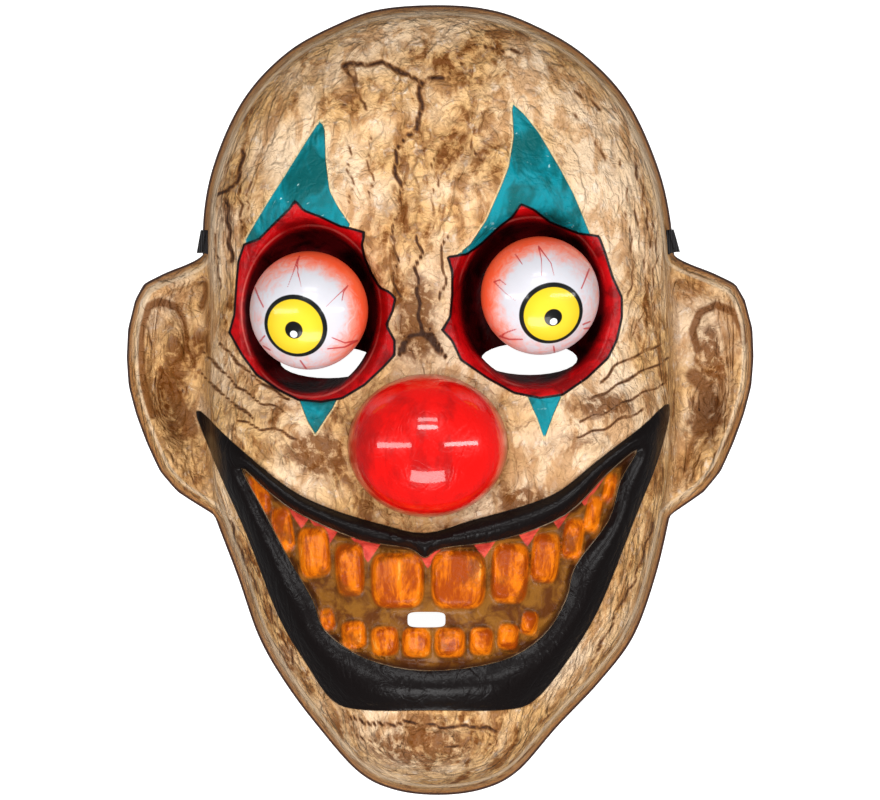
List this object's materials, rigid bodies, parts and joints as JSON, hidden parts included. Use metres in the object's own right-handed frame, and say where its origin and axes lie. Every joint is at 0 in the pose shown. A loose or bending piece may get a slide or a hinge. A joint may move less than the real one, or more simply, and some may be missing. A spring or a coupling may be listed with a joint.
{
  "type": "clown mask",
  "caption": "Hard plastic full-face clown mask with moulded ears, ball nose, bulging eyes, wide toothy grin and an elastic head strap.",
  "frame": {"origin": "under the middle of the mask's bounding box, on the plane its trim edge rests on", "axes": "+X to the right as the mask is seen from the front, +Y from the chin to the crown, +Z out of the face"},
  "size_m": [0.2143, 0.27, 0.098],
  "materials": {
    "shell_plastic": "formed plastic sheet, painted in satin skin, teal, red and black",
    "eyeball_plastic": "glossy printed plastic",
    "strap_elastic": "flat woven black elastic"
  },
  "bodies": {
    "root": {"mask_shell": "shell_plastic", "eyeball_left": "eyeball_plastic", "eyeball_right": "eyeball_plastic", "elastic_strap": "strap_elastic"}
  },
  "joints": []
}
